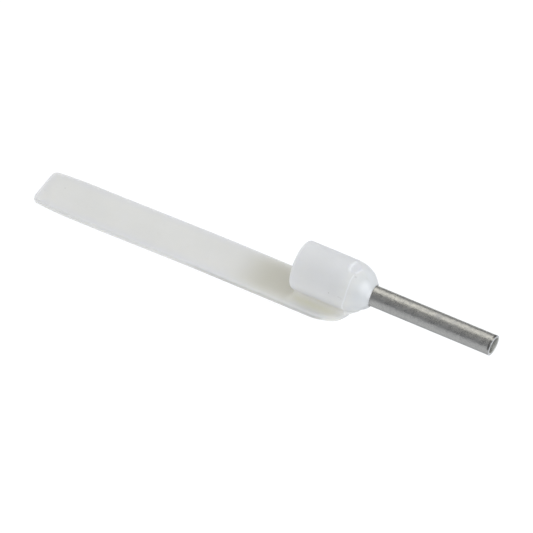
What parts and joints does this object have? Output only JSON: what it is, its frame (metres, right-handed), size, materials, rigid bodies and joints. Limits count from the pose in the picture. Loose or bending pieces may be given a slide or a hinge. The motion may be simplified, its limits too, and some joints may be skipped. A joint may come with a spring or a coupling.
{
  "type": "wire end ferrule with tag strip",
  "caption": "Insulated wire end ferrule: bare tinned crimp tube, translucent white collar with rounded nose, and a long flat tag strip behind it.",
  "frame": {"origin": "on the crimp tube's axis, where the bare tube leaves the collar's nose", "axes": "+X along the crimp tube towards its open tip, +Z away from the tag strip, which lies flat underneath, +Y across the strip"},
  "size_m": [0.0302, 0.0034, 0.0038],
  "materials": {
    "tinned_copper": "satin",
    "white_polypropylene": "satin"
  },
  "bodies": {
    "root": {"crimp_tube": "tinned_copper", "collar_and_tag_strip": "white_polypropylene"}
  },
  "joints": []
}
